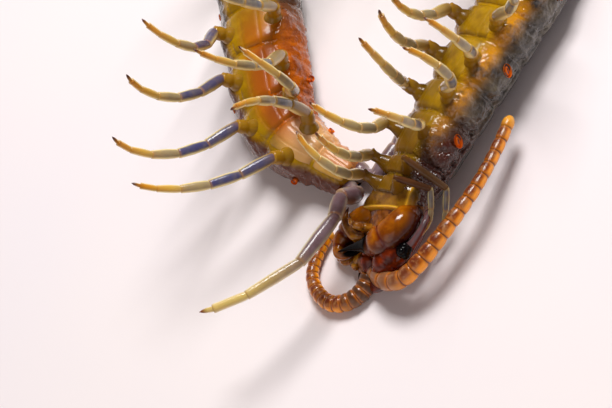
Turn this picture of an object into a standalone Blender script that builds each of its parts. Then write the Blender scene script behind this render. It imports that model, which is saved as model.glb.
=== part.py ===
# A centipede lying on its back, its long body bent in a U on the floor and its legs in the air.
# Lengths are in millimetres here and become metres when a mesh is made. +Z is up.
# "Along" counts from the head's tip to the tail. The belly faces up, turned a little to the left.
import math
import random

import bmesh
import bpy
import numpy as np
from mathutils import Matrix, Vector

mm = 0.001
gap = 0.3                     # clear distance between neighbouring pieces
trunkGap = 0.42               # the same between two lengths of the trunk

# The body's route over the floor: where the head's tip lies, which way the body first runs,
# and each bend as (middle, length, turn in degrees) along the body.
headTip = (-6.5, -0.6)
firstHeading = 18.0
bends = [(38.8, 24.0, 101.0), (67.2, 24.0, 121.0), (94.2, 9.0, 42.0)]
routeStep = 0.05
bodyRoll = [(0, 26), (14, 26), (32, 6), (44, 0)]   # degrees that the belly is turned to the left

# The trunk
neckAt = 8.4                  # the head ends and the first leg-bearing segment starts
segmentCount = 21
longSegments = (3, 5, 7, 8, 10, 12, 14, 16, 18, 20)
basePitch = 3.6
longFactor, shortFactor = 1.16, 0.85
neckLoss, middleGain, tailLoss = 0.42, 0.58, 0.55
lastSegment = 3.3
legPlace = 0.5                # where the legs grow in each segment, from its front
trunkHalfWidth = [
    (0, 2.4), (4, 3.0), (8, 3.1), (12, 3.7), (17, 4.1), (30, 4.4), (88, 4.4), (93, 4.0), (96, 3.5),
    (99, 2.8), (103, 1.9),
]
trunkHeight = [(0, 4.0), (8, 4.8), (13, 5.6), (22, 6.0), (85, 6.2), (96, 5.2), (104, 2.9)]
trunkLengths = [(1, 3), (4, 6), (7, 9), (10, 12), (13, 15), (16, 18), (19, 21)]
sectionPoints = 20
ringPlaces = (0.0, 0.18, 0.5, 0.82)
seamDepth = 0.30
seamLift, flatUpTo = 0.7, 0.12   # the back lifts off the floor by this share of a seam deeper than the second
bellyNarrowing = 0.20         # the belly is this share narrower than the back
pressedFlat = 0.35            # how far the back is pressed flat where it lies on the floor

# The legs
legSides = 6
legLength = [(1, 8.8), (4, 9.8), (10, 11.0), (16, 11.8), (20, 12.6)]
socketAngle = 56.0            # where on the section a leg grows, up from the flank
socketRadius, socketTop, socketHeight, socketRoot = 1.0, 0.80, 0.35, 0.9
socketFit = 0.42              # a socket is no wider than this share of its segment's length, either way
coxaLength = 0.95
coxaRadius = 0.70
coxaEase, coxaTurn = 0.25, -0.1   # how far the coxa leans over where the leg turns back on it
# A leg's pieces: share of the leg's length, radius at the joint before it, radius at its middle
articles = {
    "prefemur": (0.25, 0.50, 0.60),
    "femur": (0.22, 0.44, 0.54),
    "tibia": (0.20, 0.40, 0.48),
    "tarsusOne": (0.16, 0.33, 0.36),
    "tarsusTwo": (0.11, 0.27, 0.28),
    "claw": (0.06, 0.25, 0.17),
}
clawTip = 0.06
# How a leg is held, in degrees: its rise out of the side, how much each further piece curls over
# the belly, its lean to the tail, and how much each further piece adds to that lean.
legPoses = {
    ("left", 1): (125, -15, -29, 13),
    ("left", 2): (132, -6, -31, 8),
    ("left", 3): (137, -18, -38, 10),
    ("left", 4): (140, -13, -16, 6),
    ("left", 5): (122, -3, -28, 9),
    ("left", 6): (118, -3, -42, 10),
    ("left", 7): (112, 4, -50, 8),
    ("left", 17): (96, 5, 30, -8),
    ("left", 18): (99, 5, 46, -13),
    ("left", 19): (71, 11, 50, -22),
    ("left", 20): (104, 6, 10, 2),
    ("right", 3): (27, 16, -18, 0),
    ("right", 4): (22, 24, -3, -1),
    ("right", 5): (29, 21, -17, 4),
    ("right", 6): (24, 17, 4, 0),
    ("right", 16): (80, 0, 44, -14),
    ("right", 17): (88, -5, 56, -19),
    ("right", 18): (54, 7, 42, -12),
    ("right", 19): (21, 13, 14, -7),
    ("right", 20): (22, 8, -12, -6),
}
plainPose = (58, 11, 0, 2)
poseSpread = (9, 2, 3, 1)

# Legs placed joint by joint, as (x, y, z) to the claw's tip: the last pair, drawn out behind, from the
# prefemur's root, and two of the front ones, folded beside the head, from the prefemur's end
placedLegs = {
    ("right", 1): [
        (4.05, -0.65, 4.8), (2.95, -1.4, 3.85), (2.2, -1.6, 3.1), (1.5, -1.75, 2.95), (0.9, -2.0, 3.15),
        (0.25, -2.2, 3.3),
    ],
    ("right", 2): [
        (5.0, -1.15, 4.0), (3.7, -1.8, 2.85), (2.85, -2.0, 1.95), (1.9, -2.3, 1.4), (1.2, -2.5, 1.2),
        (0.5, -2.6, 1.0),
    ],
    ("right", 21): [
        (-0.4, 6.8, 1.85), (-1.0, 6.3, 3.6), (-2.5, 4.6, 4.5), (-7.5, 3.2, 5.8), (-12.5, 3.2, 7.2),
        (-15.2, 4.0, 7.9), (-16.2, 4.7, 8.0),
    ],
    ("left", 21): [
        (1.8, 7.1, 1.2), (4.9, 8.1, 1.0), (7.9, 9.0, 0.9), (12.9, 10.3, 0.9), (17.6, 11.8, 0.9),
        (20.4, 12.9, 0.9), (21.4, 13.3, 0.9),
    ],
}
legFullness = {1: 0.75, 2: 0.80, 21: 1.25}   # times an ordinary leg's thickness
lastSocket = {"right": (-0.95, 0.1), "left": (0.95, 0.0)}   # left of the middle, out of the belly

# The head, in its own left and belly directions, taken at this place along the body
headMiddle = 4.0
# Rings of (along, left, height, half width, half height)
headRings = [
    (1.3, 0.5, -1.35, 0.9, 0.35), (1.7, 0.5, -1.35, 1.8, 0.60), (2.7, 0.4, -1.3, 2.6, 0.80),
    (4.2, 0.15, -1.25, 2.9, 0.90), (6.0, 0.0, -1.15, 2.85, 0.95), (8.1, 0.0, -1.0, 2.7, 1.0),
]
plateRings = [
    (7.15, 0.25, 1.4, 2.5, 0.65), (7.35, 0.2, 1.4, 2.8, 0.95), (7.7, 0.1, 1.4, 2.85, 1.05),
    (8.1, 0.0, 1.4, 2.75, 1.05),
]
headSides, plateSides = 16, 14
# Tubes of (along, left, height, radius)
forcipules = {
    "right": [
        (6.5, -2.1, 0.9, 0.70), (6.1, -2.45, 1.0, 1.05), (5.2, -2.3, 1.15, 1.20), (4.5, -1.4, 1.25, 0.98),
        (4.1, -0.2, 1.4, 0.58), (3.9, 1.1, 1.55, 0.38), (3.8, 2.3, 1.6, 0.08),
    ],
    "left": [
        (6.45, 2.4, 1.4, 0.60), (5.95, 3.0, 1.7, 0.95), (5.2, 3.8, 1.85, 1.00), (4.3, 4.1, 1.55, 0.82),
        (3.6, 3.8, 1.25, 0.50), (3.75, 2.95, 1.0, 0.36), (4.5, 1.9, 0.9, 0.08),
    ],
}
maxillae = {
    "right": [
        (5.7, 0.4, 0.35, 0.34), (4.9, 0.8, 0.35, 0.42), (4.1, 1.4, 0.3, 0.45), (3.4, 1.9, 0.22, 0.42),
        (2.8, 2.2, 0.2, 0.33), (2.4, 2.4, 0.25, 0.15),
    ],
    "left": [
        (5.9, 1.3, 0.85, 0.34), (5.6, 1.4, 1.4, 0.36), (5.35, 1.55, 1.95, 0.33), (5.3, 1.95, 2.5, 0.27),
        (5.8, 2.4, 2.85, 0.07),
    ],
}
eyePlace = {"right": (4.6, -3.2, -1.0), "left": (4.6, 3.2, -0.2)}
ocelli = [(0.0, 0.0, 0.34), (0.55, 0.05, 0.32), (0.10, 0.45, 0.30), (0.60, 0.48, 0.28)]   # (back, up, radius)

# The feelers, through (x, y, z) points: one curls over the floor, one lies back beside the body
antennae = {
    "right": [
        (-4.35, -2.8, 2.0), (-3.1, -3.5, 2.85), (-1.0, -3.9, 3.45), (2.3, -3.65, 3.6), (6.9, -2.6, 3.4),
        (10.1, -1.1, 2.9), (13.0, 0.5, 2.6),
    ],
    "left": [
        (-5.85, -0.85, 0.78), (-7.0, -0.35, 0.72), (-8.2, 1.0, 0.70), (-8.5, 3.1, 0.68), (-7.7, 5.0, 0.66),
        (-5.8, 6.3, 0.64), (-4.0, 6.9, 0.62),
    ],
}
antennaBeads = 18
antennaRoot, antennaTip = 0.92, 0.60
antennaSides = 8


def smooth(t):
    """Rises from 0 to 1 without a corner: 3t^2 - 2t^3, held outside 0..1."""
    t = np.clip(t, 0.0, 1.0)
    return t * t * (3.0 - 2.0 * t)


def readRows(rows, place):
    """The value at a place, read along straight lines between (place, value) rows."""
    return float(np.interp(place, [row[0] for row in rows], [row[1] for row in rows]))


def segmentLength(number):
    if number == segmentCount:
        return lastSegment
    growth = 1.0 - neckLoss * (number < 3)
    growth += middleGain * smooth((number - 5) / 6) - tailLoss * smooth((number - 16) / 4)
    return float(basePitch * growth * (longFactor if number in longSegments else shortFactor))


segmentStart = [neckAt]
for number in range(1, segmentCount + 1):
    segmentStart.append(segmentStart[-1] + segmentLength(number))
bodyEnd = segmentStart[-1]


def bodyRoute():
    """Adds up short steps whose heading turns by each bend's smooth share."""
    along = np.arange(0.0, bodyEnd + 2.0, routeStep)
    heading = np.full_like(along, firstHeading)
    for middle, length, turn in bends:
        heading += turn * smooth((along - middle) / length + 0.5)
    heading = np.radians(heading)
    x = headTip[0] + np.concatenate([[0.0], np.cumsum(np.cos(heading[:-1]) * routeStep)])
    y = headTip[1] + np.concatenate([[0.0], np.cumsum(np.sin(heading[:-1]) * routeStep)])
    return along, x, y, heading


routeAlong, routeX, routeY, routeHeading = bodyRoute()


def bodyFrame(along):
    """The middle of the section, and the ways to the tail, to the left side and out of the belly."""
    heading = np.interp(along, routeAlong, routeHeading)
    roll = math.radians(readRows(bodyRoll, along))
    half, height = readRows(trunkHalfWidth, along), readRows(trunkHeight, along)
    reach = math.hypot(0.5 * height * math.cos(roll), half * math.sin(roll))
    x, y = np.interp(along, routeAlong, routeX), np.interp(along, routeAlong, routeY)
    middle = np.array([x, y, reach - pressedFlat])
    tailward = np.array([math.cos(heading), math.sin(heading), 0.0])
    level = np.array([-math.sin(heading), math.cos(heading), 0.0])
    upright = np.array([0.0, 0.0, 1.0])
    leftward = level * math.cos(roll) - upright * math.sin(roll)
    bellyward = upright * math.cos(roll) + level * math.sin(roll)
    return middle, tailward, leftward, bellyward


def bodyPoint(along, left, height):
    """Height counts out of the belly from the middle of the section."""
    middle, _, leftward, bellyward = bodyFrame(along)
    return middle + leftward * left + bellyward * height


def seamShare(along):
    """1 at the seam between two segments, 0 away from it."""
    nearest = min(abs(along - start) for start in segmentStart[1:-1])
    return math.exp(-((nearest / 0.55) ** 2))


def sectionPoint(along, angle):
    """A flattened oval, wider towards the back, drawn in at each seam and cut flat at the floor."""
    half = readRows(trunkHalfWidth, along)
    height = readRows(trunkHeight, along)
    pinch = seamDepth * seamShare(along)
    across, rise = math.cos(angle), math.sin(angle)
    up = (0.5 * height - pinch) * math.copysign(abs(rise) ** 0.85, rise)
    narrowing = 1.0 - bellyNarrowing * smooth(0.5 + up / height)
    left = (half - pinch) * narrowing * math.copysign(abs(across) ** 0.8, across)
    point = bodyPoint(along, left, up)
    point[2] = max(point[2], seamLift * max(pinch - flatUpTo, 0.0))
    return point


def flankNormal(along, angle):
    """Square to the surface there, from two points close together."""
    middle, tailward, _, _ = bodyFrame(along)
    here = sectionPoint(along, angle)
    normal = np.cross(tailward, sectionPoint(along, angle + 0.05) - here)
    normal /= np.linalg.norm(normal)
    return normal if normal @ (here - middle) > 0 else -normal


def socket(number, side):
    """Where a leg grows: the point on the trunk and the way out of it."""
    sign = 1 if side == "left" else -1
    if number == segmentCount:
        left, height = lastSocket[side]
        _, tailward, _, _ = bodyFrame(bodyEnd)
        return bodyPoint(bodyEnd, left, height), tailward
    along = segmentStart[number - 1] + legPlace * segmentLength(number)
    angle = math.radians(socketAngle if sign > 0 else 180.0 - socketAngle)
    return sectionPoint(along, angle), flankNormal(along, angle)


def material(name, colour, roughness):
    """A plain finish from an sRGB hex colour."""
    made = bpy.data.materials.get(name) or bpy.data.materials.new(name)
    made.use_nodes = True
    channels = [int(colour[k:k + 2], 16) / 255.0 for k in (1, 3, 5)]
    linear = [c / 12.92 if c <= 0.04045 else ((c + 0.055) / 1.055) ** 2.4 for c in channels]
    shader = made.node_tree.nodes["Principled BSDF"]
    shader.inputs["Base Color"].default_value = (*linear, 1.0)
    shader.inputs["Roughness"].default_value = roughness
    made.diffuse_color = (*linear, 1.0)
    return made


def loftMesh(name, rings):
    """One closed skin through a row of rings of equal count, with a flat cap at each end."""
    count = len(rings[0])
    points = [tuple(np.asarray(point) * mm) for ring in rings for point in ring]
    faces = []
    for row in range(len(rings) - 1):
        for k in range(count):
            after = (k + 1) % count
            here, there = row * count, (row + 1) * count
            faces.append((here + k, here + after, there + after, there + k))
    faces.append(tuple(range(count)))
    faces.append(tuple((len(rings) - 1) * count + k for k in range(count)))
    mesh = bpy.data.meshes.new(name)
    mesh.from_pydata(points, [], faces)
    shape = bmesh.new()
    shape.from_mesh(mesh)
    bmesh.ops.recalc_face_normals(shape, faces=shape.faces)
    shape.to_mesh(mesh)
    shape.free()
    return mesh


def addNode(name, mesh, finish):
    made = bpy.data.objects.new(name, mesh)
    mesh.materials.clear()
    mesh.materials.append(finish)
    mesh.shade_smooth()
    parts.objects.link(made)
    return made


def tubeRings(points, radii, sides, flatten=1.0, floor=None):
    """Rings carried along a path, each square to the mean of the stretches that meet there."""
    points = [np.asarray(point, float) for point in points]
    ways = [b - a for a, b in zip(points[:-1], points[1:])]
    ways = [way / np.linalg.norm(way) for way in ways]
    side = np.cross(ways[0], (0.0, 0.0, 1.0))
    if np.linalg.norm(side) < 0.2:
        side = np.cross(ways[0], (1.0, 0.0, 0.0))
    rings = []
    for k, point in enumerate(points):
        way = ways[max(k - 1, 0)] + ways[min(k, len(ways) - 1)]
        way /= np.linalg.norm(way)
        side = side - way * (side @ way)
        side /= np.linalg.norm(side)
        rise = np.cross(side, way)
        ring = []
        for corner in range(sides):
            turn = 2.0 * math.pi * (corner + 0.5) / sides
            place = point + radii[k] * (math.cos(turn) * side + flatten * math.sin(turn) * rise)
            if floor is not None:
                place[2] = max(place[2], floor)
            ring.append(place)
        rings.append(ring)
    return rings


def joinPieces(name, meshes, finish):
    """The union of closed pieces, of which only the largest closed surface is kept."""
    body = addNode(name, meshes[0], finish)
    if len(meshes) == 1:
        return body
    extras = bpy.data.collections.new(name + "Pieces")
    for number, mesh in enumerate(meshes[1:]):
        extras.objects.link(bpy.data.objects.new(f"{name}Piece{number}", mesh))
    union = body.modifiers.new("Union", "BOOLEAN")
    union.operation = "UNION"
    union.operand_type = "COLLECTION"
    union.collection = extras
    union.solver = "MANIFOLD"
    bpy.context.view_layer.update()
    joined = bpy.data.meshes.new_from_object(body.evaluated_get(bpy.context.evaluated_depsgraph_get()))
    body.modifiers.clear()
    body.data = joined
    for piece in list(extras.objects):
        bpy.data.objects.remove(piece)
    bpy.data.collections.remove(extras)
    keepLargest(joined)
    joined.materials.clear()
    joined.materials.append(finish)
    joined.shade_smooth()
    return body


def keepLargest(mesh):
    """Drops every loose scrap and filled hollow but the shell with the most faces."""
    shape = bmesh.new()
    shape.from_mesh(mesh)
    shells, seen = [], set()
    for face in shape.faces:
        if face in seen:
            continue
        shell, waiting = [], [face]
        seen.add(face)
        while waiting:
            current = waiting.pop()
            shell.append(current)
            for edge in current.edges:
                for other in edge.link_faces:
                    if other not in seen:
                        seen.add(other)
                        waiting.append(other)
        shells.append(shell)
    shells.sort(key=len)
    scraps = [face for shell in shells[:-1] for face in shell]
    bmesh.ops.delete(shape, geom=scraps, context="FACES")
    shape.to_mesh(mesh)
    shape.free()


def socketMesh(name, number, side):
    """A short cone, its root sunk in the trunk, whose flat top faces the leg."""
    point, way = socket(number, side)
    path = [point - way * socketRoot, point + way * socketHeight]
    wide = min(socketRadius, socketFit * segmentLength(number))
    return loftMesh(name, tubeRings(path, (wide, wide * socketTop), 8))


def sectionRing(along):
    turn = 2.0 * math.pi / sectionPoints
    return [sectionPoint(along, (k + 0.5) * turn) for k in range(sectionPoints)]


def trunkNode(order, first, last, finish):
    """One length of the trunk: its segments as one skin, with a socket for each leg."""
    start, end = segmentStart[first - 1], segmentStart[last]
    places = []
    for number in range(first, last + 1):
        places += [segmentStart[number - 1] + share * segmentLength(number) for share in ringPlaces]
    places[0] = start + trunkGap / 2
    places.append(end - trunkGap / 2)
    name = f"trunk_{order}"
    meshes = [loftMesh(name, [sectionRing(place) for place in places])]
    for number in range(first, last + 1):
        if number == segmentCount:
            continue
        for side in ("left", "right"):
            meshes.append(socketMesh(f"{name}Socket{number}{side}", number, side))
    return joinPieces(name, meshes, finish)


def legPose(number, side):
    """The chosen pose, or the plain one moved a little at random for a leg out of view."""
    if (side, number) in legPoses:
        return legPoses[(side, number)]
    return tuple(value + spread * chance.uniform(-1.0, 1.0) for value, spread in zip(plainPose, poseSpread))


def legWays(number, side):
    """The direction of each piece of a leg."""
    along = segmentStart[number - 1] + legPlace * segmentLength(number)
    _, tailward, leftward, bellyward = bodyFrame(along)
    outward = leftward if side == "left" else -leftward
    lift, curl, lean, hook = legPose(number, side)
    ways = []
    for order in range(len(articles)):
        rise, tilt = math.radians(lift + curl * order), math.radians(lean + hook * order)
        across = outward * math.cos(rise) + bellyward * math.sin(rise)
        ways.append(tailward * math.sin(tilt) + across * math.cos(tilt))
    return ways


def legJoints(number, side):
    """Every joint from the prefemur's root to the claw's tip."""
    placed = [np.array(joint) for joint in placedLegs.get((side, number), [])]
    if number == segmentCount:
        return placed
    point, way = socket(number, side)
    point = point + way * (gap + socketHeight)
    ways = [] if placed else legWays(number, side)
    towards = (placed[0] - point) / np.linalg.norm(placed[0] - point) if placed else ways[0]
    if way @ towards < coxaTurn:
        way = (way + coxaEase * towards) / np.linalg.norm(way + coxaEase * towards)
    joints = [point + way * coxaLength] + placed
    length = readRows(legLength, number)
    for (share, _, _), way in zip(articles.values(), ways):
        joints.append(joints[-1] + way * length * share)
    return joints


def legNode(number, side, finish):
    """A leg from its coxa to its claw as one skin, narrow at each joint and fuller between."""
    fullness = legFullness.get(number, 1.0)
    point, way = socket(number, side)
    point = point + way * (gap + (0.0 if number == segmentCount else socketHeight))
    joints = legJoints(number, side)
    wide = min(coxaRadius, socketFit * segmentLength(number))
    points, radii = [point, 0.45 * point + 0.55 * joints[0]], [wide * 0.9, wide]
    for (_, joint, middle), start, end in zip(articles.values(), joints[:-1], joints[1:]):
        points += [start, start + 0.45 * (end - start)]
        radii += [joint * fullness, middle * fullness]
    points.append(joints[-1])
    radii.append(clawTip)
    name = f"leg_{side}_{number:02d}"
    return addNode(name, loftMesh(name, tubeRings(points, radii, legSides)), finish)


def headPoint(along, left, height, floor=0.0):
    """A point in the head's own directions, no lower than the floor."""
    middle, tailward, leftward, bellyward = bodyFrame(headMiddle)
    point = middle + tailward * (along - headMiddle) + leftward * left + bellyward * height
    point[2] = max(point[2], floor)
    return point


def slabMesh(name, rows, sides):
    """A flattened round form from rings (along, left, height, half width, half height)."""
    rings = []
    for along, left, height, half, rise in rows:
        ring = []
        for corner in range(sides):
            turn = 2.0 * math.pi * (corner + 0.5) / sides
            across = math.copysign(abs(math.cos(turn)) ** 0.85, math.cos(turn))
            ring.append(headPoint(along, left + half * across, height + rise * math.sin(turn)))
        rings.append(ring)
    return loftMesh(name, rings)


def headTube(name, rows, sides, finish):
    points = [headPoint(*row[:3]) for row in rows]
    return addNode(name, loftMesh(name, tubeRings(points, [row[3] for row in rows], sides)), finish)


def eyeNode(side, finish):
    """Four small domes on one low mound at the edge of the head."""
    along, left, height = eyePlace[side]
    outward = 1 if side == "left" else -1
    meshes = []
    mound = [headPoint(along + 0.3, left + 0.42 * step * outward, height) for step in (0, 1)]
    meshes.append(loftMesh(f"eye_{side}", tubeRings(mound, (0.62, 0.50), 8, floor=0.0)))
    for number, (back, rise, radius) in enumerate(ocelli):
        made = bpy.data.meshes.new(f"eye{side}{number}")
        ball = bmesh.new()
        bmesh.ops.create_icosphere(ball, subdivisions=1, radius=radius * mm)
        centre = headPoint(along + back, left + 0.40 * outward, height - 0.2 + rise)
        bmesh.ops.translate(ball, verts=ball.verts, vec=Vector(centre * mm))
        for corner in ball.verts:
            corner.co.z = max(corner.co.z, 0.0)
        ball.to_mesh(made)
        ball.free()
        meshes.append(made)
    return joinPieces(f"eye_{side}", meshes, finish)


def antennaNode(side, finish):
    """A row of beads along a curve through the feeler's own points, each narrow at its joints."""
    rows = antennae[side]
    spaced = np.array(rows, float)
    marks = np.concatenate([[0.0], np.cumsum(np.linalg.norm(np.diff(spaced, axis=0), axis=1))])
    points, radii = [], []
    for order in range(2 * antennaBeads + 1):
        share = order / (2 * antennaBeads)
        place = share * marks[-1]
        points.append([float(curveThrough(marks, spaced[:, axis], place)) for axis in range(3)])
        radius = antennaRoot + (antennaTip - antennaRoot) * smooth(share * 1.2)
        radii.append(radius * (1.0 if order % 2 else 0.82))
    radii[-1] = antennaTip * 0.55
    name = f"antenna_{side}"
    return addNode(name, loftMesh(name, tubeRings(points, radii, antennaSides, floor=0.0)), finish)


def curveThrough(marks, values, place):
    """A smooth curve through the values at the marks: cubic pieces whose slopes are the mean ones."""
    k = int(np.clip(np.searchsorted(marks, place) - 1, 0, len(marks) - 2))
    slopes = np.gradient(values, marks)
    width = marks[k + 1] - marks[k]
    t = (place - marks[k]) / width
    return (
        (2 * t ** 3 - 3 * t ** 2 + 1) * values[k] + (t ** 3 - 2 * t ** 2 + t) * width * slopes[k]
        + (-2 * t ** 3 + 3 * t ** 2) * values[k + 1] + (t ** 3 - t ** 2) * width * slopes[k + 1]
    )


for old in list(bpy.data.objects):
    bpy.data.objects.remove(old)
parts = bpy.data.collections.new("centipede")
bpy.context.scene.collection.children.link(parts)
chance = random.Random(21)

trunkFinish = material("trunk cuticle", "#7A641E", 0.35)
legFinish = material("leg cuticle", "#B08A48", 0.35)
headFinish = material("head cuticle", "#6A2A10", 0.25)
fangFinish = material("fang cuticle", "#8A4A08", 0.2)
antennaFinish = material("antenna cuticle", "#A8601A", 0.3)
eyeFinish = material("eye lens", "#0A0A0C", 0.1)

for order, (first, last) in enumerate(trunkLengths, start=1):
    trunkNode(order, first, last, trunkFinish)
for side in ("left", "right"):
    for number in range(1, segmentCount + 1):
        legNode(number, side, legFinish)
addNode("head", slabMesh("head", headRings, headSides), headFinish)
addNode("coxosternite", slabMesh("coxosternite", plateRings, plateSides), fangFinish)
for side in ("left", "right"):
    headTube(f"forcipule_{side}", forcipules[side], 8, fangFinish)
    headTube(f"maxilla_{side}", maxillae[side], 6, headFinish)
    eyeNode(side, eyeFinish)
    antennaNode(side, antennaFinish)

# The whole is moved so that the middle of its box lies over the origin and its lowest point at z = 0
bounds = np.array([corner.co for made in parts.objects for corner in made.data.vertices])
low, high = bounds.min(axis=0), bounds.max(axis=0)
shift = Vector((-(low[0] + high[0]) / 2, -(low[1] + high[1]) / 2, -low[2]))
for made in parts.objects:
    made.data.transform(Matrix.Translation(shift))
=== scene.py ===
import math
import random

import bpy
import numpy as np
from mathutils import Matrix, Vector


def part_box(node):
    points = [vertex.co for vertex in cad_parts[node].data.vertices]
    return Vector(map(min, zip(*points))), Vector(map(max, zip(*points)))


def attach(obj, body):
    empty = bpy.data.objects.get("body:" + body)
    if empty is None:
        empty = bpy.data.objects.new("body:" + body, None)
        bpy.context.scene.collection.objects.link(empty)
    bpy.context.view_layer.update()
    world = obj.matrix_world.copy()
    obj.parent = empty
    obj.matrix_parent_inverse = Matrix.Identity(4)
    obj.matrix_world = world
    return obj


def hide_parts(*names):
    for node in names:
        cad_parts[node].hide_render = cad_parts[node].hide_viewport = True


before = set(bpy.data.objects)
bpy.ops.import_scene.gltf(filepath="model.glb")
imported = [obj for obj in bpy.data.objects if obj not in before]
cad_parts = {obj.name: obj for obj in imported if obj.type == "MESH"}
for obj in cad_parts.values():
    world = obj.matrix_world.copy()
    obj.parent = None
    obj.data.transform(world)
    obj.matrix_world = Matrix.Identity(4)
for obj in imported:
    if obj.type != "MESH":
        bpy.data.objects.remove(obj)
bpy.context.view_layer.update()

# A large centipede lying on its back, as a museum's model. Lengths are in millimetres in the animal's
# own frame, and become metres on the CAD's origin when a mesh is made. "Along" counts from the head's
# tip to the tail. Angles round the body start at its left side and pass over the belly.
metre = 0.001
chance = np.random.default_rng(7)


def smooth(t):
    # rises from 0 to 1 without a corner: 3t^2 - 2t^3
    t = np.clip(t, 0.0, 1.0)
    return t * t * (3.0 - 2.0 * t)


def fade(value, start, end):
    # 0 at the start, 1 at the end and beyond it, smooth between them
    return smooth((value - start) / (end - start))


def hump(t):
    # a bell: 1 at 0, and near 0 beyond 2
    return np.exp(-np.square(t))


def readRows(rows, place):
    # the value at each place, along straight lines between (place, value) rows
    return np.interp(place, [row[0] for row in rows], [row[1] for row in rows])


def unit(ways):
    return ways / np.maximum(np.linalg.norm(ways, axis=-1, keepdims=True), 1e-9)


def turns(columns):
    # the angle of each column round a ring
    return 2.0 * math.pi * np.arange(columns) / columns


def column(values):
    return np.asarray(values, float)[..., None]


# The body's route and section, as in the CAD.
route = {
    "headTip": (-6.5, -0.6), "firstHeading": 18.0, "step": 0.05,
    "bends": [(38.8, 24.0, 101.0), (67.2, 24.0, 121.0), (94.2, 9.0, 42.0)],   # middle, length, turn
    "roll": [(0, 26), (14, 26), (32, 6), (44, 0)],                            # degrees to the left
}
trunk = {
    "neckAt": 8.4, "segments": 21, "longOnes": (3, 5, 7, 8, 10, 12, 14, 16, 18, 20),
    "pitch": 3.6, "longFactor": 1.16, "shortFactor": 0.85,
    "neckLoss": 0.42, "middleGain": 0.58, "tailLoss": 0.55, "lastSegment": 3.3, "legPlace": 0.5,
    "halfWidth": [(0, 2.4), (4, 3.0), (8, 3.1), (12, 3.7), (17, 4.1), (30, 4.4), (88, 4.4), (93, 4.0),
                  (96, 3.5), (99, 2.8), (103, 1.9)],
    "height": [(0, 4.0), (8, 4.8), (13, 5.6), (22, 6.0), (85, 6.2), (96, 5.2), (104, 2.9)],
    "seamDepth": 0.30, "skinSeam": 0.12, "seamReach": 0.55, "seamLift": 0.7, "flatUpTo": 0.12,
    "bellyNarrowing": 0.20, "pressedFlat": 0.35,
}


def segmentLength(number):
    if number == trunk["segments"]:
        return trunk["lastSegment"]
    growth = 1.0 - trunk["neckLoss"] * (number < 3)
    growth += trunk["middleGain"] * fade(number, 5.0, 11.0) - trunk["tailLoss"] * fade(number, 16.0, 20.0)
    factor = trunk["longFactor" if number in trunk["longOnes"] else "shortFactor"]
    return float(trunk["pitch"] * growth * factor)


segmentStart = [trunk["neckAt"]]
for number in range(1, trunk["segments"] + 1):
    segmentStart.append(segmentStart[-1] + segmentLength(number))
segmentStart = np.array(segmentStart)
bodyEnd = segmentStart[-1]


def bodyRoute():
    # adds up short steps whose heading turns by each bend's smooth share
    along = np.arange(0.0, bodyEnd + 2.0, route["step"])
    heading = np.full_like(along, route["firstHeading"])
    for middle, length, turn in route["bends"]:
        heading += turn * smooth((along - middle) / length + 0.5)
    heading = np.radians(heading)
    x, y = (start + np.concatenate([[0.0], np.cumsum(way[:-1] * route["step"])])
            for start, way in zip(route["headTip"], (np.cos(heading), np.sin(heading))))
    return along, x, y, heading


routeAlong, routeX, routeY, routeHeading = bodyRoute()


def bodyFrame(along):
    # the section's middle, and the ways to the tail, to the left side and out of the belly
    along = np.asarray(along, float)
    heading = np.interp(along, routeAlong, routeHeading)
    roll = np.radians(readRows(route["roll"], along))
    half, height = readRows(trunk["halfWidth"], along), readRows(trunk["height"], along)
    reach = np.hypot(0.5 * height * np.cos(roll), half * np.sin(roll))
    x, y = np.interp(along, routeAlong, routeX), np.interp(along, routeAlong, routeY)
    nought = np.zeros_like(heading)
    middle = np.stack([x, y, reach - trunk["pressedFlat"]], -1)
    tailward = np.stack([np.cos(heading), np.sin(heading), nought], -1)
    level = np.stack([-np.sin(heading), np.cos(heading), nought], -1)
    upright = np.array([0.0, 0.0, 1.0])
    leftward = level * column(np.cos(roll)) - upright * column(np.sin(roll))
    bellyward = upright * column(np.cos(roll)) + level * column(np.sin(roll))
    return middle, tailward, leftward, bellyward


def seamShare(along, reach):
    # 1 at the seam between two segments, 0 away from it
    along = np.asarray(along, float)
    nearest = np.abs(along[..., None] - segmentStart[1:-1]).min(axis=-1)
    return hump(nearest / reach)


def sectionPoint(along, angle, lift=0.0, pinch=None):
    # a flattened oval, wider towards the back, drawn in at each seam and cut flat at the floor
    along, angle = np.broadcast_arrays(np.asarray(along, float), np.asarray(angle, float))
    middle, _, leftward, bellyward = bodyFrame(along)
    half, height = readRows(trunk["halfWidth"], along), readRows(trunk["height"], along)
    if pinch is None:
        pinch = trunk["seamDepth"] * seamShare(along, trunk["seamReach"])   # the CAD's own
    across, rise = np.cos(angle), np.sin(angle)
    up = (0.5 * height - pinch + lift) * np.sign(rise) * np.abs(rise) ** 0.85
    narrowing = 1.0 - trunk["bellyNarrowing"] * smooth(0.5 + up / height)
    left = (half - pinch + lift) * narrowing * np.sign(across) * np.abs(across) ** 0.8
    point = middle + leftward * column(left) + bellyward * column(up)
    point[..., 2] = np.maximum(point[..., 2], trunk["seamLift"] * np.maximum(pinch - trunk["flatUpTo"], 0.0))
    return point


# The head's form, and where the CAD's own origin lies.
head = {
    "middle": 4.0,
    "rings": [(1.3, 0.5, -1.35, 0.9, 0.35), (1.7, 0.5, -1.35, 1.8, 0.60), (2.7, 0.4, -1.3, 2.6, 0.80),
              (4.2, 0.15, -1.25, 2.9, 0.90), (6.0, 0.0, -1.15, 2.85, 0.95), (8.1, 0.0, -1.0, 2.7, 1.0)],
    "sides": 16,     # of the CAD's own rings
    "tipRing": (1.22, 0.5, -1.35, 0.35, 0.12), "neckRing": (8.9, 0.0, -1.0, 2.5, 1.0), "rows": 60,
    "columns": 80, "margin": 0.16, "marginReach": 0.22, "marginTone": 0.85,
}


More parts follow.
